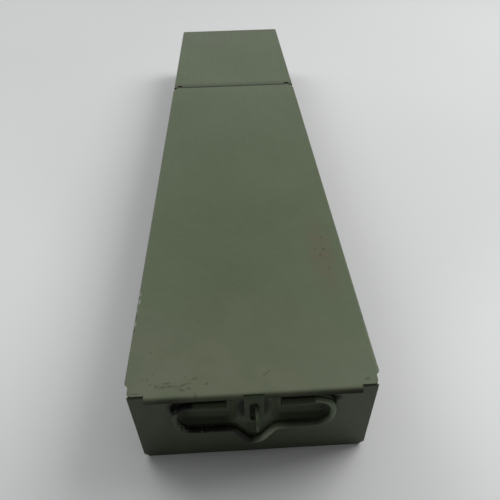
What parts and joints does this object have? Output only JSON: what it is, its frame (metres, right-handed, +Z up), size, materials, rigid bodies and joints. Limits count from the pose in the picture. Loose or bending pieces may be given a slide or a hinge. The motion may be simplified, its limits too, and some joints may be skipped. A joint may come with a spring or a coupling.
{
  "type": "bank deposit tin",
  "caption": "Long low sheet-steel deposit tin with a hinged lid, fixed rear cover, wire bail handle and slotted padlock hasp on the front end.",
  "frame": {"origin": "middle of the whole tin's bounding box, on the surface that it stands on", "axes": "+X to the right seen from the front, +Y along the tin to the rear, +Z up"},
  "size_m": [0.123, 0.5612, 0.057],
  "materials": {
    "body_paint": "satin baked enamel, sage green",
    "lid_paint": "satin baked enamel, sage green, lightly scuffed",
    "hardware_paint": "satin baked enamel, sage green",
    "handle_paint": "satin baked enamel, chipped at the grip",
    "bare_steel": "drawn steel wire, dulled"
  },
  "bodies": {
    "body": {"body_tray": "body_paint", "front_wall": "body_paint", "rear_wall": "body_paint", "rear_cover": "lid_paint", "hinge_pin": "bare_steel", "handle_clip_left": "body_paint", "handle_clip_right": "body_paint", "padlock_lug": "hardware_paint", "lug_rivets": "hardware_paint"},
    "lid": {"lid": "lid_paint", "lid_edge_wire": "bare_steel"},
    "hasp": {"hasp_leaf": "hardware_paint"},
    "bail": {"bail_handle": "handle_paint"}
  },
  "joints": [
    {"name": "lid_hinge", "type": "hinge", "parent": "body", "child": "lid", "pos_m": [0, 0.09485, 0.0552], "axis": [-1, 0, 0], "range_deg": [0, 95]},
    {"name": "hasp_swing", "type": "hinge", "parent": "lid", "child": "hasp", "pos_m": [0, -0.27041, 0.05474], "axis": [-1, 0, 0], "range_deg": [0, 110]},
    {"name": "bail_swing", "type": "hinge", "parent": "body", "child": "bail", "pos_m": [0, -0.27075, 0.0501], "axis": [-1, 0, 0], "range_deg": [0, 125]}
  ]
}
